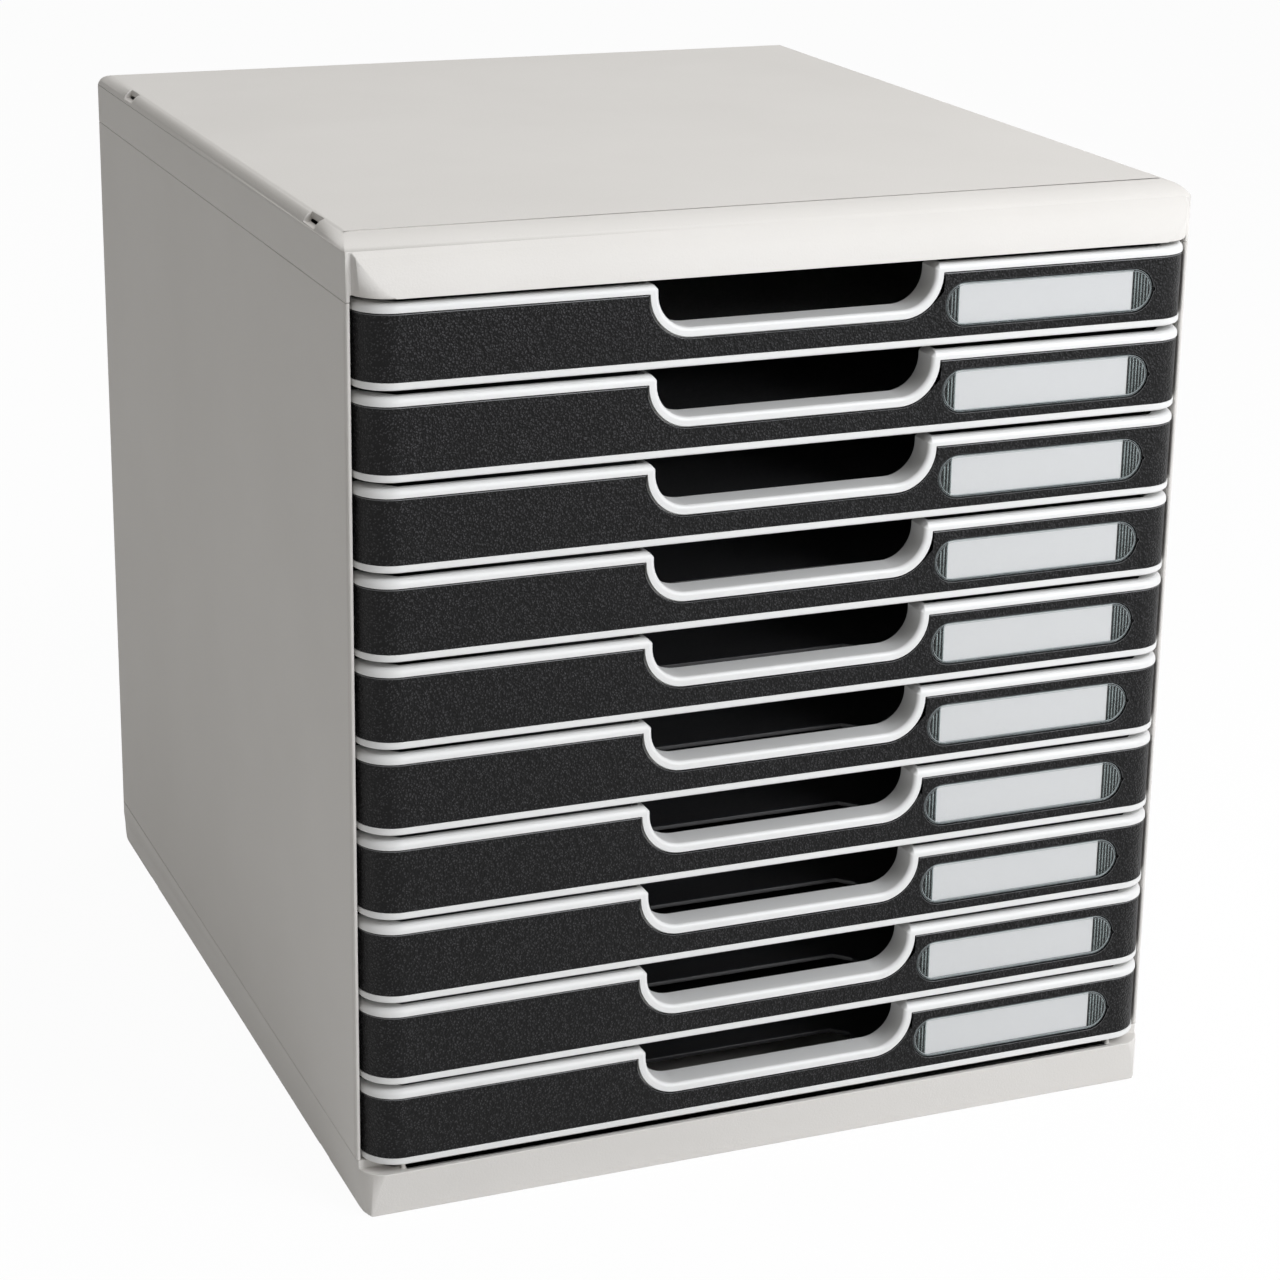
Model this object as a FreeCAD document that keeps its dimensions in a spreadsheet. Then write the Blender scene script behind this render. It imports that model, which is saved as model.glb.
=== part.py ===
import FreeCAD, Part
import enum
import math
import os

import Sketcher

# Desktop drawer organizer: a light grey casing of five shells holding ten identical trays.
# Origin: middle of the footprint, on the desk. Front faces -Y, right hand side is +X, up is +Z.
# Drawers count from the top: drawer_01 is under the hood, drawer_10 is just above the base.

DRAWER_COUNT = 10
CUT_MARGIN = 10  # cutting blocks run this far past the piece

# Driving sizes in millimetres: name, value, what it measures.
SIZES = [
    ("total_width", 288.0, "outside width over the side panels"),
    ("total_depth", 339.0, "outside depth, hood front to back"),
    ("drawer_pitch", 28.5, "height step from one drawer to the next"),
    ("base_height", 18.5, "desk to the seam under the side panels"),
    ("lid_height", 19.0, "seam above the side panels to the flat top"),
    ("seam_margin", 2.5, "what the side panels lack of ten pitches"),
    ("side_wall", 3.0, "side panel thickness"),
    ("nose_wall", 1.4, "thickness of the side panel's front edge"),
    ("nose_setback", 8.9, "front edge of the side panels behind the hood front"),
    ("nose_length", 10.5, "depth of the thin front edge"),
    ("groove_setback", 1.6, "line beside the front edge, measured from that edge"),
    ("groove_width", 0.6, "width of that line"),
    ("groove_depth", 0.4, "depth of that line"),
    ("side_back_radius", 3.0, "rounded upright edges at the back"),
    ("return_width", 12.0, "inward flange at the back of a side panel"),
    ("back_wall", 2.5, "back panel thickness"),
    ("shell_wall", 2.6, "lid and base wall thickness"),
    ("hood_inset", 1.2, "hood ends inside the side panel faces"),
    ("hood_corner", 13.0, "upright corner radius of the hood"),
    ("hood_crown", 22.0, "radius of the hood's rounded front"),
    ("hood_lift", 2.3, "hood's lower edge above the seam"),
    ("hood_depth", 60.0, "how far the hood block reaches back under the top"),
    ("hood_line", 0.6, "width and depth scale of the fine line behind the hood"),
    ("lid_edge", 4.5, "rounded side edges of the top"),
    ("lid_back_edge", 12.0, "rounded back edge of the top"),
    ("base_corner", 11.0, "upright front corner radius of the base"),
    ("base_front_setback", 1.0, "base lip behind the hood front"),
    ("base_draft", 3.0, "how far the base front slopes in towards the desk"),
    ("base_back_draft", 4.5, "how far the base back slopes in towards the desk"),
    ("base_back_edge", 10.0, "rounded lower back edge of the base"),
    ("base_edge", 4.5, "rounded lower side edges of the base"),
    ("lip_drop", 2.9, "base front lip below the seam"),
    ("stop_wall", 1.4, "thickness of the two stop ribs behind the lip"),
    ("stop_depth", 9.0, "depth of those ribs"),
    ("stop_front_gap", 4.0, "those ribs behind the hood front"),
    ("stop_end_gap", 13.5, "those ribs inside the side panel faces"),
    ("stop_drop", 0.7, "those ribs below the seam"),
    ("notch_length", 12.0, "stacking notch along the edge"),
    ("notch_width", 3.4, "stacking notch across the edge"),
    ("notch_height", 3.2, "stacking notch down from the edge"),
    ("notch_front_gap", 42.0, "front stacking notch behind the hood front"),
    ("notch_back_gap", 46.0, "rear stacking notch ahead of the back"),
    ("front_lift", 0.2, "lowest drawer front above the seam"),
    ("front_height", 26.5, "height of a drawer front"),
    ("front_setback", 0.6, "rims of a drawer front behind the hood front"),
    ("front_corner", 12.3, "upright corner radius of a drawer front"),
    ("front_side_gap", 0.4, "drawer front to the side panel's thin edge"),
    ("front_return", 1.5, "straight part of a drawer front behind its corner"),
    ("rim_top", 2.9, "light rim above the dark panel"),
    ("rim_bottom", 2.4, "light rim below the dark panel"),
    ("rim_proud", 0.3, "rims proud of the dark panel"),
    ("panel_wall", 1.5, "dark panel thickness"),
    ("plate_wall", 1.8, "light plate behind the dark panel"),
    ("notch_window_gap", 1.5, "finger notch to the label window, along the front"),
    ("notch_bottom", 9.4, "finger notch in the dark panel above the front's lower edge"),
    ("notch_radius", 13.9, "lower corner radius of the finger notch"),
    ("notch_rim", 2.9, "width of the light rim round the finger notch"),
    ("notch_flare", 1.6, "upper corners of that rim, cut off"),
    ("notch_gap", 0.3, "clearance round the lip in the tray and the dark panel"),
    ("lip_depth", 10.0, "how far the finger lip reaches back"),
    ("window_end_gap", 15.7, "label window to the right end of the front"),
    ("window_centre_z", 12.7, "label window middle above the front's lower edge"),
    ("window_length", 75.0, "label window length"),
    ("window_height", 14.0, "label window height"),
    ("window_wall", 0.8, "clear pane proud of the dark panel"),
    ("card_length", 63.0, "label card length"),
    ("card_height", 12.9, "label card height"),
    ("card_gap", 0.15, "label card to the edge of its opening"),
    ("card_wall", 0.4, "label card thickness"),
    ("card_shift", -1.0, "label card from the middle of the window"),
    ("runner_space", 4.2, "tray's side to the side panel, where the runners are"),
    ("tray_wall", 1.6, "tray wall and floor thickness"),
    ("tray_lift", 2.0, "tray's underside above the front's lower edge"),
    ("tray_height", 21.5, "tray height"),
    ("tray_back_gap", 8.0, "tray's back to the back panel"),
    ("tray_back_corner", 5.0, "upright corner radius at the tray's back"),
    ("flange_width", 3.5, "runner flange beside the tray"),
    ("flange_setback", 19.0, "runner flange behind the hood front"),
    ("ledge_wall", 1.6, "thickness of a runner ledge"),
    ("ledge_gap", 0.3, "runner flange above its ledge"),
    ("ledge_side_gap", 0.6, "runner ledge to the tray's side"),
    ("cutout_length", 84.0, "length of the hole in the tray floor"),
    ("cutout_width", 22.0, "width of the hole in the tray floor"),
    ("cutout_corner", 5.0, "corners of that hole, cut off"),
    ("cutout_setback", 10.0, "that hole behind the tray's front wall"),
]

doc = FreeCAD.newDocument("drawer_organizer")
sheet = doc.addObject("Spreadsheet::Sheet", "dims")
for row, (size_name, size_value, size_note) in enumerate(SIZES, start=1):
    sheet.set("A%d" % row, size_note)
    sheet.set("B%d" % row, str(size_value))
    sheet.setAlias("B%d" % row, size_name)
doc.recompute()

# Heights and lines that several pieces share, as expressions on the sheet.
HALF_WIDTH = "dims.total_width / 2"
HALF_DEPTH = "dims.total_depth / 2"
SEAM_LOW = "dims.base_height"
SIDE_HEIGHT = "(%d * dims.drawer_pitch - dims.seam_margin)" % DRAWER_COUNT
SEAM_HIGH = "(%s + %s)" % (SEAM_LOW, SIDE_HEIGHT)
TOP = "(%s + dims.lid_height)" % SEAM_HIGH
NOSE_FRONT = "(%s - dims.nose_setback)" % HALF_DEPTH
FRONT_LOW = "(%s + dims.front_lift)" % SEAM_LOW
FRONT_HALF = "(%s - dims.nose_wall - dims.front_side_gap)" % HALF_WIDTH
RIM_FRONT = "(%s - dims.front_setback)" % HALF_DEPTH
PANEL_FRONT = "(%s - dims.rim_proud)" % RIM_FRONT
PLATE_FRONT = "(%s - dims.panel_wall)" % PANEL_FRONT
TRAY_FRONT = "(%s - dims.plate_wall)" % PLATE_FRONT
BACK_PANEL_FRONT = "(%s - dims.side_wall - dims.back_wall)" % HALF_DEPTH
TRAY_BACK = "(%s - dims.tray_back_gap)" % BACK_PANEL_FRONT
TRAY_LOW = "(%s + dims.tray_lift)" % FRONT_LOW
TRAY_TOP = "(%s + dims.tray_height)" % TRAY_LOW
TRAY_HALF = "(%s - dims.side_wall - dims.runner_space)" % HALF_WIDTH
TRAY_CORNER = "(%s - %s + dims.front_corner)" % (TRAY_HALF, FRONT_HALF)
WINDOW_X = "(%s - dims.window_end_gap - dims.window_length / 2)" % FRONT_HALF
WINDOW_Z = "(%s + dims.window_centre_z)" % FRONT_LOW
NOTCH_HALF = "(%s - dims.window_length / 2 - dims.notch_window_gap)" % WINDOW_X
CARD_X = "(%s + dims.card_shift)" % WINDOW_X
CARD_SPACE = ("(dims.card_length + 2 * dims.card_gap)", "(dims.card_height + 2 * dims.card_gap)")
NOTCH_BOTTOM = "(%s + dims.notch_bottom)" % FRONT_LOW
FRONT_TOP = "(%s + dims.front_height)" % FRONT_LOW
HOOD_RISE = "(dims.lid_height - dims.hood_lift)"
CREASE = "(sqrt(2 * dims.hood_crown * %s - %s * %s) - %s)" % (HOOD_RISE, HOOD_RISE, HOOD_RISE, HALF_DEPTH)
ALL_WIDTH = "(dims.total_width + %d)" % (2 * CUT_MARGIN)

XY_TURN = FreeCAD.Rotation()
YZ_TURN = FreeCAD.Rotation(FreeCAD.Vector(1, 1, 1), 120)
XZ_TURN = FreeCAD.Rotation(FreeCAD.Vector(1, 0, 0), 90)
LEAST_OFFSET = 1e-6
SketchPoint = enum.IntEnum("SketchPoint", "START END CENTRE")


def measure(expression):
    """Value of an expression on the sheet, as a plain number."""
    value = sheet.evalExpression(expression)
    return float(getattr(value, "Value", value))


def arc_between(start, end, radius, turn):
    """Arc of a radius from start to end; turn is 1 for a left turn and -1 for a right turn."""
    middle = (start + end) * 0.5
    chord = end - start
    left = FreeCAD.Vector(-chord.y, chord.x, 0).normalize()
    height = math.sqrt(max(radius ** 2 - (chord.Length / 2) ** 2, 0.0))
    centre = middle + left * height * turn
    first, last = (start, end) if turn > 0 else (end, start)
    begin_angle = math.atan2(first.y - centre.y, first.x - centre.x)
    end_angle = math.atan2(last.y - centre.y, last.x - centre.x)
    if end_angle <= begin_angle:
        end_angle += 2 * math.pi
    circle = Part.Circle(centre, FreeCAD.Vector(0, 0, 1), radius)
    return Part.ArcOfCircle(circle, begin_angle, end_angle)


def pin_coordinate(sketch, kind, geometry, position, expression):
    """Tie one coordinate of a point to an expression."""
    value = measure(expression)
    if abs(value) < LEAST_OFFSET:
        axis = -2 if kind == "DistanceX" else -1
        sketch.addConstraint(Sketcher.Constraint("PointOnObject", geometry, position, axis))
        return
    if value > 0:
        index = sketch.addConstraint(Sketcher.Constraint(kind, -1, 1, geometry, position, value))
        sketch.setExpression("Constraints[%d]" % index, expression)
    else:
        index = sketch.addConstraint(Sketcher.Constraint(kind, geometry, position, -1, 1, -value))
        sketch.setExpression("Constraints[%d]" % index, "-(%s)" % expression)


def draw_loop(sketch, corners):
    """Closed outline: each corner is x, y and, for an arc to the next corner, radius and turn.

    A half round has its centre's place along the outline as well, instead of a fixed radius.
    """
    points = [FreeCAD.Vector(measure(c[0]), measure(c[1]), 0) for c in corners]
    ends = []
    for number, corner in enumerate(corners):
        start = points[number]
        end = points[(number + 1) % len(points)]
        if len(corner) > 2:
            radius, turn = corner[2], corner[3]
            arc = arc_between(start, end, measure(radius), turn)
            geometry = sketch.addGeometry(arc, False)
            if len(corner) > 4:
                pin_coordinate(sketch, corner[4], geometry, SketchPoint.CENTRE, corner[5])
            else:
                index = sketch.addConstraint(Sketcher.Constraint("Radius", geometry, measure(radius)))
                sketch.setExpression("Constraints[%d]" % index, radius)
            ends.append((geometry, 1, 2) if turn > 0 else (geometry, 2, 1))
        else:
            geometry = sketch.addGeometry(Part.LineSegment(start, end), False)
            ends.append((geometry, 1, 2))
    for number, corner in enumerate(corners):
        geometry, first, last = ends[number]
        follower, follower_first, follower_last = ends[(number + 1) % len(ends)]
        joint = Sketcher.Constraint("Coincident", geometry, last, follower, follower_first)
        sketch.addConstraint(joint)
        pin_coordinate(sketch, "DistanceX", geometry, first, corner[0])
        pin_coordinate(sketch, "DistanceY", geometry, first, corner[1])


def free_sketch(name, turn, corners, offset=None):
    """Sketch that belongs to no body; offset moves it along its own normal."""
    sketch = doc.addObject("Sketcher::SketchObject", name)
    sketch.Placement = FreeCAD.Placement(FreeCAD.Vector(0, 0, 0), turn)
    draw_loop(sketch, corners)
    if offset:
        axis, expression = offset
        sketch.setExpression(".Placement.Base.%s" % axis, expression)
    return sketch


def body_sketch(body, name, role, corners, offset=None):
    """Sketch on one of the body's own origin planes, moved along that plane's normal."""
    sketch = body.newObject("Sketcher::SketchObject", name)
    plane = [p for p in body.Origin.OriginFeatures if p.Role == role][0]
    sketch.AttachmentSupport = [(plane, "")]
    sketch.MapMode = "FlatFace"
    draw_loop(sketch, corners)
    if offset:
        sketch.setExpression("AttachmentOffset.Base.z", offset)
    return sketch


def extrude(name, sketch, length, symmetric=False):
    """Solid drawn straight from a free sketch along its normal."""
    solid = doc.addObject("Part::Extrusion", name)
    solid.Base = sketch
    solid.DirMode = "Normal"
    solid.Solid = True
    solid.Symmetric = symmetric
    solid.setExpression("LengthFwd", length)
    return solid


def pad(body, name, sketch, length, reverse=False):
    """Add the sketch's solid to the body."""
    feature = body.newObject("PartDesign::Pad", name)
    feature.Profile = sketch
    feature.Reversed = reverse
    feature.setExpression("Length", length)
    return feature


def pocket(body, name, sketch, length, reverse=False):
    """Cut the sketch's solid out of the body."""
    feature = body.newObject("PartDesign::Pocket", name)
    feature.Profile = sketch
    feature.Reversed = reverse
    feature.setExpression("Length", length)
    return feature


def box(name, width, depth, height, x, y, z):
    """Block whose sizes and corner are expressions."""
    block = doc.addObject("Part::Box", name)
    block.setExpression("Length", width)
    block.setExpression("Width", depth)
    block.setExpression("Height", height)
    block.setExpression(".Placement.Base.x", x)
    block.setExpression(".Placement.Base.y", y)
    block.setExpression(".Placement.Base.z", z)
    return block


def fuse(name, shapes):
    union = doc.addObject("Part::MultiFuse", name)
    union.Shapes = shapes
    return union


def common(name, shapes):
    shared = doc.addObject("Part::MultiCommon", name)
    shared.Shapes = shapes
    return shared


def cut(name, base, tool):
    difference = doc.addObject("Part::Cut", name)
    difference.Base = base
    difference.Tool = tool
    return difference


def rounded_plan(half, front, back, front_radius, back_radius, straight=()):
    """Rectangle seen from above, with its own radii at the front and the back corners.

    straight names the ends, front or back, whose corners are cut off straight at that size.
    """
    front_arc = () if "front" in straight else (front_radius, 1)
    back_arc = () if "back" in straight else (back_radius, 1)
    return [
        ("-(%s) + %s" % (half, front_radius), "-(%s)" % front),
        ("%s - %s" % (half, front_radius), "-(%s)" % front) + front_arc,
        (half, "-(%s) + %s" % (front, front_radius)),
        (half, "%s - %s" % (back, back_radius)) + back_arc,
        ("%s - %s" % (half, back_radius), back),
        ("-(%s) + %s" % (half, back_radius), back) + back_arc,
        ("-(%s)" % half, "%s - %s" % (back, back_radius)),
        ("-(%s)" % half, "-(%s) + %s" % (front, front_radius)) + front_arc,
    ]


def front_band(half, front, radius, wall, straight=False):
    """Drawer front seen from above: a band that bends back round both corners.

    Its hidden inside is cut off straight at the corners, and so is its outside if asked.
    """
    back = "-(%s) + %s + dims.front_return" % (front, radius)
    bend = "-(%s) + %s" % (front, radius)
    arc = () if straight else (radius, 1)
    return [
        ("-(%s)" % half, back),
        ("-(%s)" % half, bend) + arc,
        ("-(%s) + %s" % (half, radius), "-(%s)" % front),
        ("%s - %s" % (half, radius), "-(%s)" % front) + arc,
        (half, bend),
        (half, back),
        ("%s - %s" % (half, wall), back),
        ("%s - %s" % (half, wall), bend),
        ("%s - %s" % (half, radius), "-(%s) + %s" % (front, wall)),
        ("-(%s) + %s" % (half, radius), "-(%s) + %s" % (front, wall)),
        ("-(%s) + %s" % (half, wall), bend),
        ("-(%s) + %s" % (half, wall), back),
    ]


def finger_notch(half, bottom, radius, top):
    """Finger notch seen from the front, rounded below and open at the top."""
    return [
        ("-(%s)" % half, "%s + %s" % (bottom, radius), radius, 1),
        ("-(%s) + %s" % (half, radius), bottom),
        ("%s - %s" % (half, radius), bottom, radius, 1),
        (half, "%s + %s" % (bottom, radius)),
        (half, top),
        ("-(%s)" % half, top),
    ]


def square_notch(half, bottom, top):
    """Outline round a finger notch where it is hidden, with square corners below."""
    return [
        ("-(%s)" % half, bottom),
        (half, bottom),
        (half, top),
        ("-(%s)" % half, top),
    ]


def notch_mouth(half, top, flare):
    """Straight sided flare at the open top of a finger notch."""
    return [
        ("-(%s)" % half, "%s - %s" % (top, flare)),
        (half, "%s - %s" % (top, flare)),
        ("%s + 2 * %s" % (half, flare), "%s + %s" % (top, flare)),
        ("-(%s) - 2 * %s" % (half, flare), "%s + %s" % (top, flare)),
    ]


def rectangle(centre_x, centre_y, size):
    """Plain outline of a length and a height about a centre."""
    length, height = size
    left, right = ("%s - %s / 2" % (centre_x, length), "%s + %s / 2" % (centre_x, length))
    low, high = ("%s - %s / 2" % (centre_y, height), "%s + %s / 2" % (centre_y, height))
    return [(left, low), (right, low), (right, high), (left, high)]


def slot(centre_x, centre_y, length, height):
    """Outline with straight long sides and half round ends."""
    reach = "(%s - %s) / 2" % (length, height)
    radius = "(%s) / 2" % height
    left = "%s - %s" % (centre_x, reach)
    right = "%s + %s" % (centre_x, reach)
    return [
        (left, "%s - %s" % (centre_y, radius)),
        (right, "%s - %s" % (centre_y, radius), radius, 1, "DistanceX", right),
        (right, "%s + %s" % (centre_y, radius)),
        (left, "%s + %s" % (centre_y, radius), radius, 1, "DistanceX", left),
    ]


def stacking_notches(name, low):
    """Four small blocks that scoop the long edges, so that a second unit can be clipped on."""
    blocks = []
    places = (("front", "-(%s) + dims.notch_front_gap" % HALF_DEPTH),
              ("back", "%s - dims.notch_back_gap - dims.notch_length" % HALF_DEPTH))
    for end, y in places:
        for side, x in (("left", "-(%s)" % HALF_WIDTH), ("right", "%s - dims.notch_width" % HALF_WIDTH)):
            label = "%s_%s_%s" % (name, end, side)
            blocks.append(box(label, "dims.notch_width", "dims.notch_length", "dims.notch_height", x, y, low))
    return blocks


def lid_profile(inset):
    """Lid seen from the side, drawn in by an inset: rounded back edge, flat top, crowned hood."""
    back = "(%s - %s)" % (HALF_DEPTH, inset)
    back_radius = "(dims.lid_back_edge - %s)" % inset
    crown_radius = "(dims.hood_crown - %s)" % inset
    top = "(%s - %s)" % (TOP, inset)
    low = "%s - 2 * dims.hood_crown" % TOP
    front = "%s - %s" % (CREASE, crown_radius)
    return [
        (front, low),
        (back, low),
        (back, "%s - %s" % (top, back_radius), back_radius, 1),
        ("%s - %s" % (back, back_radius), top),
        (CREASE, top, crown_radius, 1),
        (front, "%s - dims.hood_crown" % TOP)]


def make_lid():
    """Top shell: flat top, side skirts down to the seam and the crowned hood over the drawers."""
    skirt_plan = free_sketch("lid_skirt_plan", XY_TURN, rounded_plan(
        HALF_WIDTH, NOSE_FRONT, HALF_DEPTH, "dims.nose_wall / 2", "dims.side_back_radius"), ("z", SEAM_HIGH))
    hood_half = "(%s - dims.hood_inset)" % HALF_WIDTH
    hood_back = "(-(%s) + dims.hood_depth)" % HALF_DEPTH
    hood_plan = free_sketch("lid_hood_plan", XY_TURN, rounded_plan(
        hood_half, HALF_DEPTH, hood_back, "dims.hood_corner", "dims.nose_wall / 2"), ("z", SEAM_HIGH))
    blocks = fuse("lid_blocks", [
        extrude("lid_skirt_block", skirt_plan, "dims.lid_height"),
        extrude("lid_hood_block", hood_plan, "dims.lid_height")])
    crown_end = "%s - dims.hood_crown" % TOP
    side_view = free_sketch("lid_side_view", YZ_TURN, lid_profile("0"))
    front_view = free_sketch("lid_front_view", XZ_TURN, [
        ("-(%s)" % HALF_WIDTH, crown_end),
        (HALF_WIDTH, crown_end),
        (HALF_WIDTH, "%s - dims.lid_edge" % TOP, "dims.lid_edge", 1),
        ("%s - dims.lid_edge" % HALF_WIDTH, TOP),
        ("-(%s) + dims.lid_edge" % HALF_WIDTH, TOP, "dims.lid_edge", 1),
        ("-(%s)" % HALF_WIDTH, "%s - dims.lid_edge" % TOP)])
    outside = common("lid_outside", [
        blocks,
        extrude("lid_side_block", side_view, ALL_WIDTH, True),
        extrude("lid_front_block", front_view, "2 * dims.total_depth", True)])
    hollow_plan = free_sketch("lid_hollow_plan", XY_TURN, rounded_plan(
        "(%s - dims.side_wall)" % HALF_WIDTH, "(%s - dims.shell_wall)" % HALF_DEPTH,
        "(%s - dims.shell_wall)" % HALF_DEPTH, "dims.hood_corner", "dims.side_back_radius",
        ("front", "back")), ("z", SEAM_HIGH))
    hollow_view = free_sketch("lid_hollow_view", YZ_TURN, lid_profile("dims.shell_wall"))
    hollow = common("lid_hollow", [
        extrude("lid_hollow_block", hollow_plan, "dims.lid_height"),
        extrude("lid_hollow_side_block", hollow_view, ALL_WIDTH, True)])
    under_hood = box("lid_under_hood", ALL_WIDTH, "dims.nose_setback + %d" % CUT_MARGIN, "dims.hood_lift",
                     "-(%s) / 2" % ALL_WIDTH, "-(%s) - %d" % (HALF_DEPTH, CUT_MARGIN), SEAM_HIGH)
    thin_reach = "dims.nose_setback + dims.nose_length + %d" % CUT_MARGIN
    over_front = box("lid_over_front", "dims.total_width - 2 * dims.nose_wall", thin_reach, "dims.hood_lift",
                     "-(%s) + dims.nose_wall" % HALF_WIDTH, "-(%s) - %d" % (HALF_DEPTH, CUT_MARGIN), SEAM_HIGH)
    line = box("lid_hood_line", ALL_WIDTH, "dims.hood_line", "dims.hood_line",
               "-(%s) / 2" % ALL_WIDTH, CREASE,
               "%s - dims.hood_line / 2" % TOP)
    scoops = stacking_notches("lid_notch", "%s - dims.notch_height" % TOP)
    tools = fuse("lid_tools", [hollow, under_hood, over_front, line] + scoops)
    return cut("lid", outside, tools)


def make_base():
    """Bottom shell: flat floor, skirts up to the seam, and a low lip with a stop rib at each end."""
    plan = free_sketch("base_plan", XY_TURN, rounded_plan(
        HALF_WIDTH, "(%s - dims.base_front_setback)" % HALF_DEPTH, HALF_DEPTH,
        "dims.base_corner", "dims.side_back_radius"))
    front = "(-(%s) + dims.base_front_setback)" % HALF_DEPTH
    side_view = free_sketch("base_side_view", YZ_TURN, [
        ("%s + dims.base_draft" % front, "0"),
        ("%s - dims.base_back_draft - dims.base_back_edge" % HALF_DEPTH, "0", "dims.base_back_edge", 1),
        ("%s - dims.base_back_draft" % HALF_DEPTH, "dims.base_back_edge"),
        (HALF_DEPTH, "dims.base_height"),
        (front, "dims.base_height")])
    front_view = free_sketch("base_front_view", XZ_TURN, [
        ("-(%s) + dims.base_edge" % HALF_WIDTH, "0"),
        ("%s - dims.base_edge" % HALF_WIDTH, "0", "dims.base_edge", 1),
        (HALF_WIDTH, "dims.base_edge"),
        (HALF_WIDTH, "dims.base_height"),
        ("-(%s)" % HALF_WIDTH, "dims.base_height"),
        ("-(%s)" % HALF_WIDTH, "dims.base_edge", "dims.base_edge", 1)])
    outside = common("base_outside", [
        extrude("base_block", plan, "dims.base_height"),
        extrude("base_side_block", side_view, ALL_WIDTH, True),
        extrude("base_front_block", front_view, "2 * dims.total_depth", True)])
    inner_front = "(%s - dims.base_front_setback - dims.base_draft - dims.shell_wall)" % HALF_DEPTH
    inner_back = "(%s - dims.base_back_draft - dims.shell_wall)" % HALF_DEPTH
    hollow_plan = free_sketch("base_hollow_plan", XY_TURN, rounded_plan(
        "(%s - dims.side_wall)" % HALF_WIDTH, inner_front, inner_back,
        "(dims.base_corner - dims.shell_wall)", "dims.side_back_radius",
        ("front", "back")), ("z", "dims.base_edge"))
    hollow = extrude("base_hollow", hollow_plan, "dims.base_height")
    over_lip = box("base_over_lip", ALL_WIDTH, "dims.nose_setback + %d" % CUT_MARGIN, "dims.lip_drop",
                   "-(%s) / 2" % ALL_WIDTH, "-(%s) - %d" % (HALF_DEPTH, CUT_MARGIN),
                   "dims.base_height - dims.lip_drop")
    scoops = stacking_notches("base_notch", "0")
    tools = fuse("base_tools", [hollow, over_lip] + scoops)
    stops = [
        box("base_stop_%s" % end, "dims.stop_wall", "dims.stop_depth",
            "dims.base_height - dims.stop_drop - dims.shell_wall", x,
            "-(%s) + dims.stop_front_gap" % HALF_DEPTH, "dims.shell_wall")
        for end, x in (("left", "-(%s) + dims.stop_end_gap" % HALF_WIDTH),
                       ("right", "%s - dims.stop_end_gap - dims.stop_wall" % HALF_WIDTH))]
    return fuse("base", [cut("base_shell", outside, tools)] + stops)


def make_side_panel(label, side):
    """Side panel: thin rounded front edge, fine upright line, back flange and ten runner ledges."""
    body = doc.addObject("PartDesign::Body", label)

    def across(inset):
        return "%d * (%s - %s)" % (side, HALF_WIDTH, inset)

    nose = "-(%s)" % NOSE_FRONT
    groove_front = "%s + dims.groove_setback" % nose
    inner_bend = "%s + dims.nose_length" % nose
    flange_front = "%s - dims.side_wall" % HALF_DEPTH
    nose_centre = "%s + dims.nose_wall / 2" % nose
    outline = [
        (across("dims.nose_wall"), nose_centre, "dims.nose_wall / 2", side, "DistanceY", nose_centre),
        (across("0"), nose_centre),
        (across("0"), groove_front),
        (across("dims.groove_depth"), "%s + dims.groove_width / 2" % groove_front),
        (across("0"), "%s + dims.groove_width" % groove_front),
        (across("0"), "%s - dims.side_back_radius" % HALF_DEPTH, "dims.side_back_radius", side),
        (across("dims.side_back_radius"), HALF_DEPTH),
        (across("dims.return_width"), HALF_DEPTH),
        (across("dims.return_width"), flange_front),
        (across("dims.side_wall"), flange_front),
        (across("dims.side_wall"), inner_bend),
        (across("dims.nose_wall"), inner_bend)]
    sketch = body_sketch(body, label + "_plan", "XY_Plane", outline, SEAM_LOW)
    pad(body, label + "_wall", sketch, SIDE_HEIGHT)
    ledge_front = "-(%s) + dims.flange_setback" % HALF_DEPTH
    ledge_in = "%d * (%s + dims.ledge_side_gap)" % (side, TRAY_HALF)
    ledge_low = "%s - dims.tray_wall - dims.ledge_gap - dims.ledge_wall" % TRAY_TOP
    ledge = body_sketch(body, label + "_ledge_plan", "XY_Plane", [
        (ledge_in, ledge_front),
        (across("dims.side_wall"), ledge_front),
        (across("dims.side_wall"), TRAY_BACK),
        (ledge_in, TRAY_BACK)], ledge_low)
    runner = pad(body, label + "_ledge", ledge, "dims.ledge_wall")
    ladder = body.newObject("PartDesign::LinearPattern", label + "_ledges")
    ladder.Originals = [runner]
    vertical = [a for a in body.Origin.OriginFeatures if a.Role == "Z_Axis"][0]
    ladder.Direction = (vertical, [""])
    ladder.Occurrences = DRAWER_COUNT
    ladder.setExpression("Length", "%d * dims.drawer_pitch" % (DRAWER_COUNT - 1))
    body.Tip = ladder
    return body


def make_back_panel():
    """Plain panel held ahead of the side panels' back flanges, between the base and the lid."""
    wide = "(dims.total_width - 2 * dims.side_wall)"
    return box("back_panel", wide, "dims.back_wall", SIDE_HEIGHT, "-(%s) / 2" % wide, BACK_PANEL_FRONT, SEAM_LOW)


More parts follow.
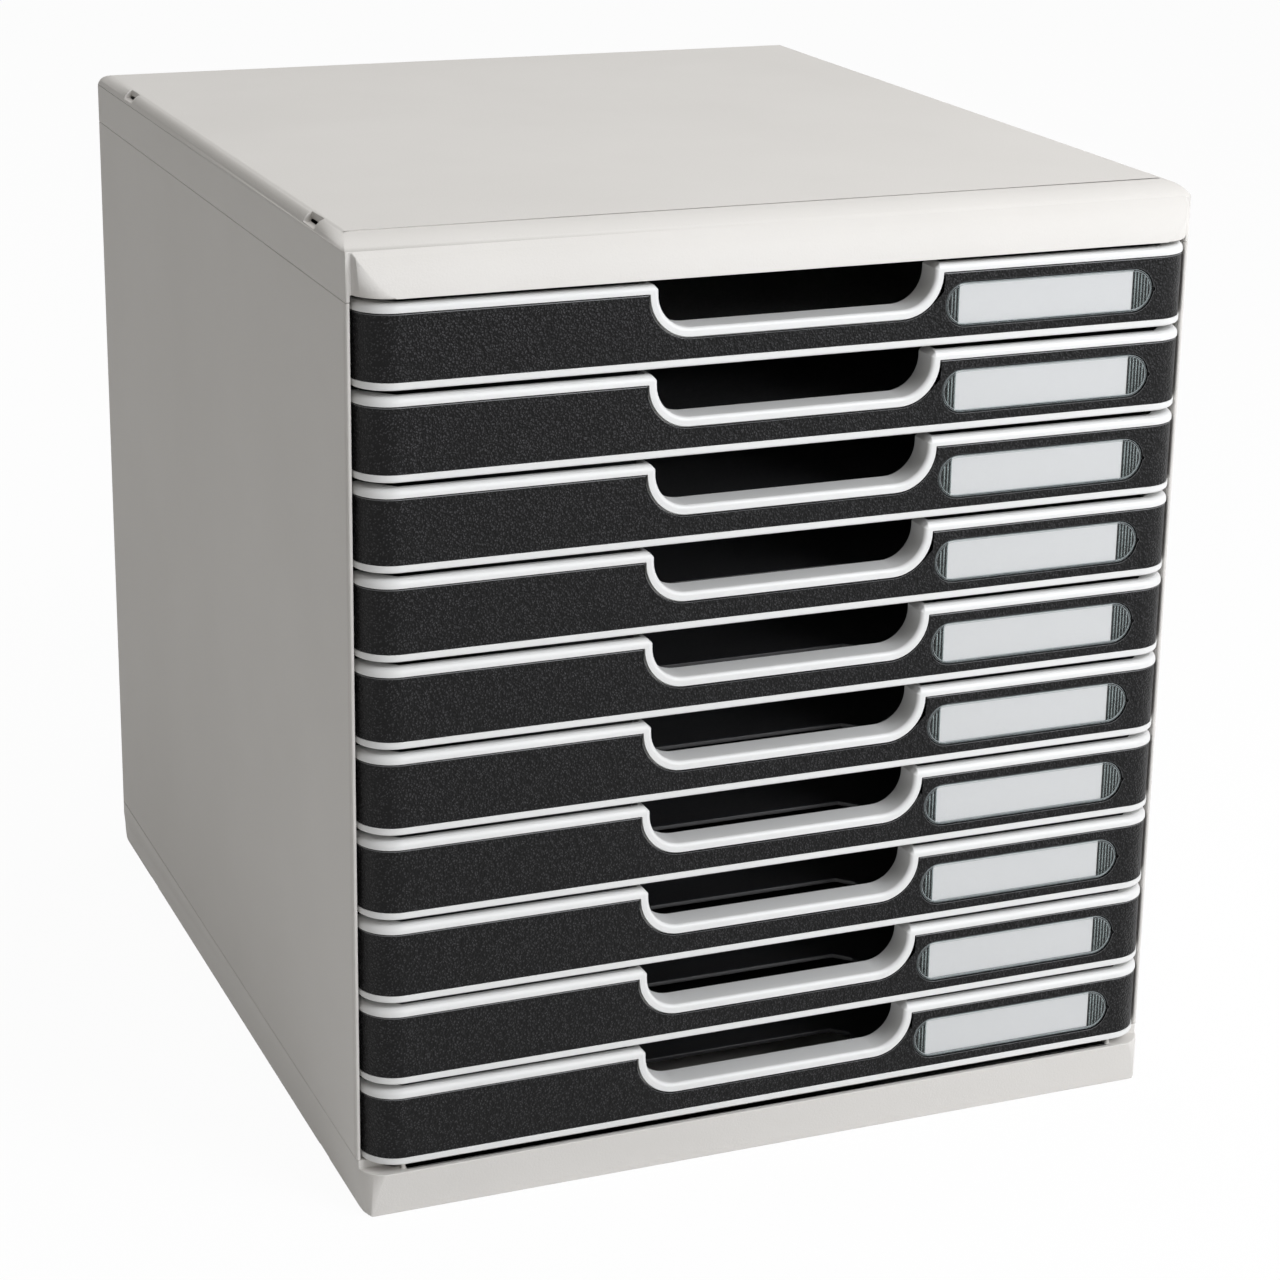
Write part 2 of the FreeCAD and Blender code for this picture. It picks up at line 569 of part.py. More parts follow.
def make_tray(label):
    """Dark tray: floor, four walls, a runner flange along each side and a hole in the floor."""
    body = doc.addObject("PartDesign::Body", label)
    outer = rounded_plan(TRAY_HALF, TRAY_FRONT, TRAY_BACK, TRAY_CORNER, "dims.tray_back_corner",
                         ("front", "back"))
    pad(body, "tray_block", body_sketch(body, "tray_plan", "XY_Plane", outer, TRAY_LOW), "dims.tray_height")
    flange_half = "(%s + dims.flange_width)" % TRAY_HALF
    flange_front = "-(%s) + dims.flange_setback" % HALF_DEPTH
    flange_low = "%s - dims.tray_wall" % TRAY_TOP
    flange = body_sketch(body, "tray_flange_plan", "XY_Plane", [
        ("-%s" % flange_half, flange_front),
        (flange_half, flange_front),
        (flange_half, "%s - dims.tray_back_corner" % TRAY_BACK),
        ("-%s" % flange_half, "%s - dims.tray_back_corner" % TRAY_BACK)], flange_low)
    pad(body, "tray_flange", flange, "dims.tray_wall")
    inner = rounded_plan(
        "(%s - dims.tray_wall)" % TRAY_HALF, "(%s - dims.tray_wall)" % TRAY_FRONT,
        "(%s - dims.tray_wall)" % TRAY_BACK, "(%s - dims.tray_wall)" % TRAY_CORNER,
        "(dims.tray_back_corner - dims.tray_wall)", ("front", "back"))
    hollow = body_sketch(body, "tray_hollow_plan", "XY_Plane", inner, "%s + dims.tray_wall" % TRAY_LOW)
    pocket(body, "tray_hollow", hollow, "dims.tray_height", True)
    notch = square_notch("(%s + dims.notch_gap)" % NOTCH_HALF, "(%s - dims.notch_gap)" % NOTCH_BOTTOM, FRONT_TOP)
    notch_sketch = body_sketch(body, "tray_notch_view", "XZ_Plane", notch, "%s - 2 * dims.tray_wall" % TRAY_FRONT)
    pocket(body, "tray_notch", notch_sketch, "4 * dims.tray_wall", True)
    cutout_front = "(%s - dims.cutout_setback)" % TRAY_FRONT
    cutout = rounded_plan("(dims.cutout_length / 2)", cutout_front, "(dims.cutout_width - %s)" % cutout_front,
                          "dims.cutout_corner", "dims.cutout_corner", ("front", "back"))
    cutout_sketch = body_sketch(body, "tray_cutout_plan", "XY_Plane", cutout, "%s - dims.tray_wall" % TRAY_LOW)
    pocket(body, "tray_cutout", cutout_sketch, "4 * dims.tray_wall", True)
    return body


def make_front_frame(label):
    """Light drawer front: back plate, rims above and below, and the lip round the finger notch."""
    body = doc.addObject("PartDesign::Body", label)
    plate_inset = "(dims.rim_proud + dims.panel_wall)"
    plate_half = "(%s - %s)" % (FRONT_HALF, plate_inset)
    plate_radius = "(dims.front_corner - %s)" % plate_inset
    plate = front_band(plate_half, PLATE_FRONT, plate_radius, "dims.plate_wall", True)
    plate_sketch = body_sketch(body, "frame_plate_plan", "XY_Plane", plate, FRONT_LOW)
    pad(body, "frame_plate", plate_sketch, "dims.front_height")
    rim_wall = "(%s + dims.plate_wall)" % plate_inset
    rim = front_band(FRONT_HALF, RIM_FRONT, "dims.front_corner", rim_wall)
    lower = body_sketch(body, "frame_lower_rim_plan", "XY_Plane", rim, FRONT_LOW)
    pad(body, "frame_lower_rim", lower, "dims.rim_bottom")
    rim_top_low = "%s + dims.front_height - dims.rim_top" % FRONT_LOW
    upper = body_sketch(body, "frame_upper_rim_plan", "XY_Plane", rim, rim_top_low)
    pad(body, "frame_upper_rim", upper, "dims.rim_top")
    lip = finger_notch(NOTCH_HALF, NOTCH_BOTTOM, "dims.notch_radius", FRONT_TOP)
    lip_sketch = body_sketch(body, "frame_lip_view", "XZ_Plane", lip, RIM_FRONT)
    pad(body, "frame_lip", lip_sketch, rim_wall, True)
    collar = square_notch(NOTCH_HALF, NOTCH_BOTTOM, FRONT_TOP)
    collar_sketch = body_sketch(body, "frame_collar_view", "XZ_Plane", collar, TRAY_FRONT)
    pad(body, "frame_collar", collar_sketch, "dims.lip_depth - %s" % rim_wall, True)
    inner_half = "(%s - dims.notch_rim)" % NOTCH_HALF
    opening = finger_notch(inner_half, "(%s + dims.notch_rim)" % NOTCH_BOTTOM,
                           "(dims.notch_radius - dims.notch_rim)", FRONT_TOP)
    opening_start = "%s + dims.rim_top" % RIM_FRONT
    opening_depth = "dims.lip_depth + 2 * dims.rim_top"
    opening_sketch = body_sketch(body, "frame_opening_view", "XZ_Plane", opening, opening_start)
    pocket(body, "frame_opening", opening_sketch, opening_depth)
    mouth = notch_mouth(inner_half, FRONT_TOP, "dims.notch_flare")
    mouth_sketch = body_sketch(body, "frame_mouth_view", "XZ_Plane", mouth, opening_start)
    pocket(body, "frame_mouth", mouth_sketch, opening_depth)
    return body


def make_front_panel(label):
    """Dark grained skin between the rims, with the finger notch and the opening for the label."""
    body = doc.addObject("PartDesign::Body", label)
    panel_half = "(%s - dims.rim_proud)" % FRONT_HALF
    panel_radius = "(dims.front_corner - dims.rim_proud)"
    band = front_band(panel_half, PANEL_FRONT, panel_radius, "dims.panel_wall")
    low = "%s + dims.rim_bottom" % FRONT_LOW
    high = "(dims.front_height - dims.rim_top - dims.rim_bottom)"
    pad(body, "panel_skin", body_sketch(body, "panel_plan", "XY_Plane", band, low), high)
    notch = finger_notch("(%s + dims.notch_gap)" % NOTCH_HALF, "(%s - dims.notch_gap)" % NOTCH_BOTTOM,
                         "(dims.notch_radius + dims.notch_gap)", FRONT_TOP)
    notch_sketch = body_sketch(body, "panel_notch_view", "XZ_Plane", notch, "%s + dims.panel_wall" % PANEL_FRONT)
    pocket(body, "panel_notch", notch_sketch, "3 * dims.panel_wall")
    hole = rectangle(CARD_X, WINDOW_Z, CARD_SPACE)
    hole_sketch = body_sketch(body, "panel_hole_view", "XZ_Plane", hole, "%s + dims.panel_wall" % PANEL_FRONT)
    pocket(body, "panel_hole", hole_sketch, "3 * dims.panel_wall")
    return body


def make_label_window(label):
    """Clear cover: a pane with half round ends, and a block behind it that fills the opening."""
    body = doc.addObject("PartDesign::Body", label)
    block = rectangle(CARD_X, WINDOW_Z, CARD_SPACE)
    block_sketch = body_sketch(body, "window_block_view", "XZ_Plane", block, "%s + dims.card_wall" % PLATE_FRONT)
    pad(body, "window_block", block_sketch, "dims.panel_wall - dims.card_wall")
    pane = slot(WINDOW_X, WINDOW_Z, "dims.window_length", "dims.window_height")
    pane_sketch = body_sketch(body, "window_pane_view", "XZ_Plane", pane, PANEL_FRONT)
    pad(body, "window_pane", pane_sketch, "dims.window_wall")
    return body


def make_label_card(label):
    """Paper card between the clear cover and the light plate."""
    return box(label, "dims.card_length", "dims.card_wall", "dims.card_height",
               "%s - dims.card_length / 2" % CARD_X,
               "-(%s) - dims.card_wall" % PLATE_FRONT,
               "%s - dims.card_height / 2" % WINDOW_Z)


def copy_upwards(label, original, steps):
    """The same piece again, a number of drawer pitches higher."""
    twin = doc.addObject("App::Link", label)
    twin.LinkedObject = original
    twin.LinkTransform = True
    twin.setExpression(".Placement.Base.z", "%d * dims.drawer_pitch" % steps)
    return twin


PIECE_MAKERS = (
    ("tray", make_tray),
    ("front_frame", make_front_frame),
    ("front_panel", make_front_panel),
    ("label_window", make_label_window),
    ("label_card", make_label_card),
)

pieces = [make_lid(), make_base(), make_side_panel("side_panel_left", -1),
          make_side_panel("side_panel_right", 1), make_back_panel()]
for piece_name, make_piece in PIECE_MAKERS:
    lowest = make_piece("drawer_%02d_%s" % (DRAWER_COUNT, piece_name))
    pieces.append(lowest)
    for drawer_number in range(1, DRAWER_COUNT):
        twin_label = "drawer_%02d_%s" % (drawer_number, piece_name)
        pieces.append(copy_upwards(twin_label, lowest, DRAWER_COUNT - drawer_number))
doc.recompute()

for feature in doc.Objects:
    faults = [word for word in feature.State if word in ("Invalid", "Error")]
    if faults:
        raise RuntimeError("%s did not build: %s" % (feature.Name, faults))
    if feature.isDerivedFrom("Sketcher::SketchObject") and feature.solve() != 0:
        raise RuntimeError("%s has an outline that does not close" % feature.Name)

os.makedirs("parts", exist_ok=True)
for piece in pieces:
    shape = Part.getShape(piece)
    if shape.isNull() or not shape.isValid() or not shape.Solids:
        raise RuntimeError("%s has no valid solid" % piece.Label)
    shape.exportStep(os.path.join("parts", piece.Label + ".step"))
    print("%-28s %d solid(s) %10.1f mm3" % (piece.Label, len(shape.Solids), shape.Volume))
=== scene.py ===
import math

import bmesh
import bpy
from mathutils import Matrix, Vector


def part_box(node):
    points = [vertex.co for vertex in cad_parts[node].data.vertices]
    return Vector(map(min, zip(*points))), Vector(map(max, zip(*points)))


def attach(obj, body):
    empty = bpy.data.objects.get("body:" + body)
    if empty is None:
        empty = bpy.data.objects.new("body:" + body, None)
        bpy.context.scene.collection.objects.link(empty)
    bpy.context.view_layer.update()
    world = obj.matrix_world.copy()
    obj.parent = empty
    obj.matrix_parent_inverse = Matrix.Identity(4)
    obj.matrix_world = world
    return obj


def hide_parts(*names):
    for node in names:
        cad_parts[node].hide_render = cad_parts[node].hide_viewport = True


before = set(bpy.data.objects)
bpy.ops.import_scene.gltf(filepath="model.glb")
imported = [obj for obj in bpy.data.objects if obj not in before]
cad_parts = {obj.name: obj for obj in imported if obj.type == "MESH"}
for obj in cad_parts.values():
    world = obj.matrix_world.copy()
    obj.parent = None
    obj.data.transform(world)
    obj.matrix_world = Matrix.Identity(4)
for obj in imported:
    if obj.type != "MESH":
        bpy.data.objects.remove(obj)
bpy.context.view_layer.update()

DRAWERS = ["drawer_%02d" % number for number in range(1, 11)]
MM = 0.001


# Materials

def new_material(name):
    material = bpy.data.materials.new(name)
    material.use_nodes = True
    nodes, links = material.node_tree.nodes, material.node_tree.links
    return material, nodes, links, nodes["Principled BSDF"]


def noise(nodes, links, scale, detail=2.0, roughness=0.5, stretch=None):
    """Noise in the piece's own space, in metres."""
    place = nodes.new("ShaderNodeTexCoord")
    source = place.outputs["Object"]
    if stretch:
        mapping = nodes.new("ShaderNodeMapping")
        mapping.inputs["Scale"].default_value = stretch
        links.new(source, mapping.inputs["Vector"])
        source = mapping.outputs["Vector"]
    texture = nodes.new("ShaderNodeTexNoise")
    texture.inputs["Scale"].default_value = scale
    texture.inputs["Detail"].default_value = detail
    texture.inputs["Roughness"].default_value = roughness
    links.new(source, texture.inputs["Vector"])
    return texture.outputs["Fac"]


def spread(nodes, links, source, low, high, start=0.3, end=0.7):
    """Map a noise value to a range of plain numbers."""
    change = nodes.new("ShaderNodeMapRange")
    change.inputs["From Min"].default_value = start
    change.inputs["From Max"].default_value = end
    change.inputs["To Min"].default_value = low
    change.inputs["To Max"].default_value = high
    links.new(source, change.inputs["Value"])
    return change.outputs["Result"]


def two_tone(nodes, links, source, dark, light, start=0.3, end=0.7):
    ramp = nodes.new("ShaderNodeValToRGB")
    ramp.color_ramp.elements[0].position = start
    ramp.color_ramp.elements[0].color = (*dark, 1)
    ramp.color_ramp.elements[1].position = end
    ramp.color_ramp.elements[1].color = (*light, 1)
    links.new(source, ramp.inputs["Fac"])
    return ramp.outputs["Color"]


def bump(nodes, links, source, strength, distance, below=None):
    relief = nodes.new("ShaderNodeBump")
    relief.inputs["Strength"].default_value = strength
    relief.inputs["Distance"].default_value = distance
    links.new(source, relief.inputs["Height"])
    if below:
        links.new(below, relief.inputs["Normal"])
    return relief.outputs["Normal"]


def moulded_plastic(name, dark, light, rough_low, rough_high, grain, grain_depth, grain_strength=0.5, gloss=0.5):
    """Moulded plastic: faint mottling, a fine spark-eroded grain and slow unevenness."""
    material, nodes, links, shader = new_material(name)
    patches = noise(nodes, links, 14.0, 3.0)
    links.new(two_tone(nodes, links, patches, dark, light), shader.inputs["Base Color"])
    fine = noise(nodes, links, grain, 2.0, 0.6)
    links.new(spread(nodes, links, fine, rough_low, rough_high), shader.inputs["Roughness"])
    slow = bump(nodes, links, noise(nodes, links, 6.0, 1.0), 0.15, 0.0006)
    links.new(bump(nodes, links, fine, grain_strength, grain_depth, slow), shader.inputs["Normal"])
    shader.inputs["IOR"].default_value = 1.5
    shader.inputs["Specular IOR Level"].default_value = gloss
    return material


def skin_with_painted_highlights(name):
    """Near black plastic with the pebbled grain of leather, the top of each pebble painted lighter as a highlight."""
    material, nodes, links, shader = new_material(name)
    place = nodes.new("ShaderNodeTexCoord")
    warp = nodes.new("ShaderNodeTexNoise")
    warp.inputs["Scale"].default_value = 500.0
    warp.inputs["Detail"].default_value = 1.0
    links.new(place.outputs["Object"], warp.inputs["Vector"])
    blend = nodes.new("ShaderNodeMix")
    blend.data_type = "VECTOR"
    blend.inputs["Factor"].default_value = 0.0012
    links.new(place.outputs["Object"], blend.inputs[4])
    links.new(warp.outputs["Color"], blend.inputs[5])
    cells = nodes.new("ShaderNodeTexVoronoi")
    cells.feature = "SMOOTH_F1"
    cells.inputs["Scale"].default_value = 1300.0
    cells.inputs["Smoothness"].default_value = 0.2
    links.new(blend.outputs[1], cells.inputs["Vector"])
    pebbles = cells.outputs["Distance"]
    # Painted highlight: the top of each pebble is painted lighter than the near black around it
    links.new(two_tone(nodes, links, pebbles, (0.044, 0.043, 0.045), (0.003, 0.0029, 0.0031), 0.06, 0.42),
              shader.inputs["Base Color"])
    links.new(spread(nodes, links, noise(nodes, links, 60.0, 3.0), 0.32, 0.46), shader.inputs["Roughness"])
    broad = bump(nodes, links, noise(nodes, links, 260.0, 2.0), 0.35, 0.0003)
    height = nodes.new("ShaderNodeMath")
    height.operation = "SUBTRACT"
    height.inputs[0].default_value = 1.0
    links.new(pebbles, height.inputs[1])
    links.new(bump(nodes, links, height.outputs["Value"], 0.9, 0.00035, broad), shader.inputs["Normal"])
    shader.inputs["IOR"].default_value = 1.5
    shader.inputs["Specular IOR Level"].default_value = 0.16
    return material


def paper(name):
    material, nodes, links, shader = new_material(name)
    fibres = noise(nodes, links, 900.0, 4.0, 0.65, (1.0, 1.0, 3.0))
    links.new(two_tone(nodes, links, fibres, (0.603, 0.598, 0.598), (0.643, 0.638, 0.638)),
              shader.inputs["Base Color"])
    links.new(spread(nodes, links, fibres, 0.75, 0.92), shader.inputs["Roughness"])
    links.new(bump(nodes, links, fibres, 0.25, 0.00008), shader.inputs["Normal"])
    return material


def clear_plastic(name, tint, milky_colour, body):
    """Thin clear plastic: see-through, with a glossy skin and a milky body in the given share. The pane's slight body
    is its own; on the ribs the body is painted highlight, on the rim painted highlight and painted shade.
    """
    material, nodes, links, shader = new_material(name)
    nodes.remove(shader)
    out = nodes["Material Output"]
    through = nodes.new("ShaderNodeBsdfTransparent")
    through.inputs["Color"].default_value = (*tint, 1)
    milky = nodes.new("ShaderNodeBsdfDiffuse")
    haze = noise(nodes, links, 320.0, 2.0)
    links.new(two_tone(nodes, links, haze, [0.85 * c for c in milky_colour], milky_colour), milky.inputs["Color"])
    solid = nodes.new("ShaderNodeMixShader")
    solid.inputs["Fac"].default_value = body
    links.new(through.outputs["BSDF"], solid.inputs[1])
    links.new(milky.outputs["BSDF"], solid.inputs[2])
    gloss = nodes.new("ShaderNodeBsdfGlossy")
    gloss.inputs["Roughness"].default_value = 0.12
    links.new(bump(nodes, links, haze, 0.1, 0.0001), gloss.inputs["Normal"])
    facing = nodes.new("ShaderNodeLayerWeight")
    power = nodes.new("ShaderNodeMath")
    power.operation = "POWER"
    power.inputs[1].default_value = 4.0
    links.new(facing.outputs["Facing"], power.inputs[0])
    skin = nodes.new("ShaderNodeMixShader")
    links.new(spread(nodes, links, power.outputs["Value"], 0.014, 0.7, 0.0, 1.0), skin.inputs["Fac"])
    links.new(solid.outputs["Shader"], skin.inputs[1])
    links.new(gloss.outputs["BSDF"], skin.inputs[2])
    links.new(skin.outputs["Shader"], out.inputs["Surface"])
    return material


CASING = moulded_plastic("casing_plastic", (0.610, 0.588, 0.560), (0.632, 0.610, 0.582), 0.52, 0.68, 1500.0, 0.00012, 0.5, 0.35)
FRONT = moulded_plastic("front_plastic", (0.66, 0.657, 0.648), (0.70, 0.697, 0.688), 0.34, 0.46, 2200.0, 0.00005, 0.3)
TRAY = moulded_plastic("tray_plastic", (0.046, 0.046, 0.048), (0.060, 0.060, 0.062), 0.28, 0.42, 1200.0, 0.00006, 0.3, 0.5)
SKIN = skin_with_painted_highlights("front_skin")
# A lighter copy of the panel plastic for its rounded edges: a painted highlight line
SKIN_EDGE_HIGHLIGHT = moulded_plastic("front_skin_edge_highlight", (0.07, 0.07, 0.072), (0.12, 0.12, 0.122), 0.3, 0.4, 900.0, 0.00004)
CARD = paper("label_paper")
PANE = clear_plastic("window_clear", (0.985, 0.988, 0.988), (0.55, 0.60, 0.60), 0.01)
# Rib material: greenish clear plastic whose milky body is painted highlight, so the clear ribs show as light lines
RIBS_HIGHLIGHT = clear_plastic("window_ribs_painted_highlight", (0.80, 0.86, 0.85), (0.50, 0.56, 0.56), 0.36)
# Milky rim material: a painted highlight line on the outer bevel and a painted band of shade on the inner slope
PANE_RIM_SHADE_AND_HIGHLIGHT = clear_plastic("window_rim_painted_shade_and_highlight", (0.80, 0.86, 0.86), (0.60, 0.66, 0.67), 0.42)


# Pieces

def finish_piece(obj, body, nodes=()):
    bpy.context.scene.collection.objects.link(obj)
    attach(obj, body)
    if nodes:
        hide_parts(*nodes)
    return obj


def carved(mesh, cutter):
    """The mesh with the cutter taken away."""
    scene = bpy.context.scene.collection
    body = bpy.data.objects.new("carved", mesh)
    tool = bpy.data.objects.new("cutter", cutter)
    scene.objects.link(body)
    scene.objects.link(tool)
    boolean = body.modifiers.new("cut", "BOOLEAN")
    boolean.operation = "DIFFERENCE"
    boolean.solver = "MANIFOLD"
    boolean.object = tool
    result = bpy.data.meshes.new_from_object(body.evaluated_get(bpy.context.evaluated_depsgraph_get()))
    bpy.data.objects.remove(body)
    bpy.data.objects.remove(tool)
    return result


def clean_faces(work, split=None):
    """Join the flat triangles. split is the height of a level line that faces with holes are divided along."""
    bmesh.ops.remove_doubles(work, verts=work.verts, dist=0.002 * MM)
    if split is not None:
        everything = work.verts[:] + work.edges[:] + work.faces[:]
        cut = bmesh.ops.bisect_plane(work, geom=everything, dist=0.005 * MM, plane_co=(0, 0, split),
                                     plane_no=(0, 0, 1))
        for part in cut["geom_cut"]:
            if isinstance(part, bmesh.types.BMEdge):
                part.seam = True
    bmesh.ops.dissolve_limit(work, angle_limit=math.radians(0.8), verts=work.verts, edges=work.edges,
                             delimit={"SEAM"})
    bmesh.ops.recalc_face_normals(work, faces=work.faces)


def dress(node, body, material, edge, segments=2, share=None, cutter=None, reshape=None,
          edge_highlight_material=None, split=None, least_turn=32):
    """The CAD node's own shape as clean faces, with its sharp edges rounded.

    share gives the part of the rounding that each edge gets, cutter a recess to carve first,
    reshape moves points before that, the edge material goes on the rounded edges as a lighter,
    painted highlight, split is for clean_faces,
    and an edge is rounded where its faces turn by least_turn degrees or more.
    """
    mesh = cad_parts[node].data.copy()
    work = bmesh.new()
    work.from_mesh(mesh)
    clean_faces(work)
    if reshape:
        reshape(work)
    work.to_mesh(mesh)
    if cutter:
        mesh = carved(mesh, cutter)
        work.clear()
        work.from_mesh(mesh)
        clean_faces(work, split)
    for face in work.faces:
        face.smooth = True
    weight = work.edges.layers.float.new("bevel_weight_edge")
    for line in work.edges:
        if len(line.link_faces) == 2 and line.calc_face_angle() > math.radians(least_turn):
            line[weight] = share(line) if share else 1.0
    work.to_mesh(mesh)
    work.free()
    mesh.name = "skin_" + node
    mesh.materials.clear()
    mesh.materials.append(material)
    if edge_highlight_material:
        mesh.materials.append(edge_highlight_material)
    obj = bpy.data.objects.new("skin_" + node, mesh)
    rounding = obj.modifiers.new("rounding", "BEVEL")
    rounding.width = edge
    rounding.segments = segments
    rounding.limit_method = "WEIGHT"
    rounding.miter_outer = "MITER_ARC"
    rounding.use_clamp_overlap = False
    # The rounded edges take the second material, a lighter one that paints a highlight along them
    if edge_highlight_material:
        rounding.material = 1
    shading = obj.modifiers.new("shading", "WEIGHTED_NORMAL")
    shading.mode = "FACE_AREA"
    shading.weight = 80
    return finish_piece(obj, body, [node])


def stadium(centre_x, centre_z, half_length, radius, count=14):
    """Points of an outline with half round ends, seen from the front, anticlockwise."""
    reach = half_length - radius
    points = []
    for side, start in ((1, -90), (-1, 90)):
        for step in range(count + 1):
            angle = math.radians(start + 180 * step / count)
            points.append((centre_x + side * reach + radius * math.cos(angle), centre_z + radius * math.sin(angle)))
    return points


def past_notch(x, rise):
    """How far a point of a drawer front lies outside the middle of the notch's light rim, and which way."""
    half, bottom, radius = 48.55 * MM, 10.85 * MM, 12.45 * MM
    beyond, below = abs(x) - (half - radius), bottom + radius - rise
    side = 1 if x > 0 else -1
    if beyond > 0 and below > 0:
        length = math.hypot(beyond, below)
        return length - radius, (side * beyond / length, -below / length)
    if below > beyond:
        return below - radius, (0, -1)
    return beyond - radius, (side, 0)


def base_share(line):
    """The base's edges are rounded, but not where its sloped back tapers to nothing."""
    middle = (line.verts[0].co + line.verts[1].co) / 2
    return 0.0 if middle.y > 0.15 else 1.0


def lip_groove():
    """A block to carve behind the base's front lip, between its two stop ribs, to leave a thin wall."""
    low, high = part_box("base")
    front, back = low.y + 2.2 * MM, low.y + 6.0 * MM
    bottom, top = high.z - 8.0 * MM, high.z - 1.9 * MM
    half = 128.8 * MM
    work = bmesh.new()
    size = Matrix.Diagonal((2 * half, back - front, top - bottom, 1))
    place = Matrix.Translation((0, (front + back) / 2, (bottom + top) / 2))
    bmesh.ops.create_cube(work, size=1.0, matrix=place @ size)
    mesh = bpy.data.meshes.new("cutter")
    work.to_mesh(mesh)
    work.free()
    return mesh


def frame_share(node):
    """The rims and the finger lip are well rounded outside and crisp against the dark panel."""
    low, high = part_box(node)

    def share(line):
        middle = (line.verts[0].co + line.verts[1].co) / 2
        normals = [face.normal for face in line.link_faces]
        faces_out = any(n.y < -0.3 or (abs(n.x) > 0.7 and abs(middle.x) > 0.139) for n in normals)
        at_front = middle.y < low.y + 0.1 * MM
        if at_front and past_notch(middle.x, middle.z - low.z)[0] < 0:
            return 0.65
        if faces_out and middle.z > high.z - 0.1 * MM and middle.y < low.y + 14.5 * MM:
            return 1.0
        if faces_out and middle.z < low.z + 0.1 * MM:
            return 0.42
        return 0.09
    return share


def panel_edges(node):
    """Two functions for a dark panel: one draws its upper edges in from the rims, one shares out the rounding."""
    low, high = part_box(node)
    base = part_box(node.replace("_panel", "_frame"))[0].z
    gap, near = 0.35 * MM, 2.0 * MM

    def at_notch(point):
        past, way = past_notch(point.x, point.z - base)
        return past < near and point.z < high.z + near, way

    def reshape(work):
        for vert in work.verts:
            beside, way = at_notch(vert.co)
            if beside:
                vert.co.x += gap * way[0]
                vert.co.z += gap * way[1]
            if vert.co.z > high.z - 0.02 * MM:
                vert.co.z -= gap

    def share(line):
        middle = (line.verts[0].co + line.verts[1].co) / 2
        if middle.y > low.y + 0.1 * MM and abs(middle.x) < 0.13:
            return 0.15
        upper = middle.z > high.z - 0.5 * MM or at_notch(middle)[0]
        return 1.0 if upper else 0.3
    return reshape, share


def window_recess(drawer):
    """Cutter for the shallow pocket in the dark panel round the label window, with a nick at its end."""
    low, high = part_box(drawer + "_label_window")
    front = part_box(drawer + "_front_panel")[0].y
    margin = 0.45 * MM
    centre_x, centre_z = (low.x + high.x) / 2, (low.z + high.z) / 2
    outline = stadium(centre_x, centre_z, (high.x - low.x) / 2 + margin, (high.z - low.z) / 2 + margin)
    nick_x, nick_radius = high.x + margin, 0.8 * MM
    nick = [(nick_x - 0.1 * MM + nick_radius * math.cos(angle), centre_z + nick_radius * math.sin(angle))
            for angle in [math.radians(-80 + 160 * step / 6) for step in range(7)]]
    outline = [point for point in outline if abs(point[1] - centre_z) > nick_radius or point[0] < centre_x]
    start = max(index for index, point in enumerate(outline) if point[0] > centre_x and point[1] < centre_z)
    outline[start + 1:start + 1] = nick
    work = bmesh.new()
    rings = [[work.verts.new((x, y, z)) for x, z in outline] for y in (front - 1.0 * MM, front + 1.1 * MM)]
    for index in range(len(outline)):
        after = (index + 1) % len(outline)
        work.faces.new((rings[0][index], rings[0][after], rings[1][after], rings[1][index]))
    work.faces.new(rings[0])
    work.faces.new(list(reversed(rings[1])))
    bmesh.ops.recalc_face_normals(work, faces=work.faces)
    mesh = bpy.data.meshes.new("cutter")
    work.to_mesh(mesh)
    work.free()
    return mesh


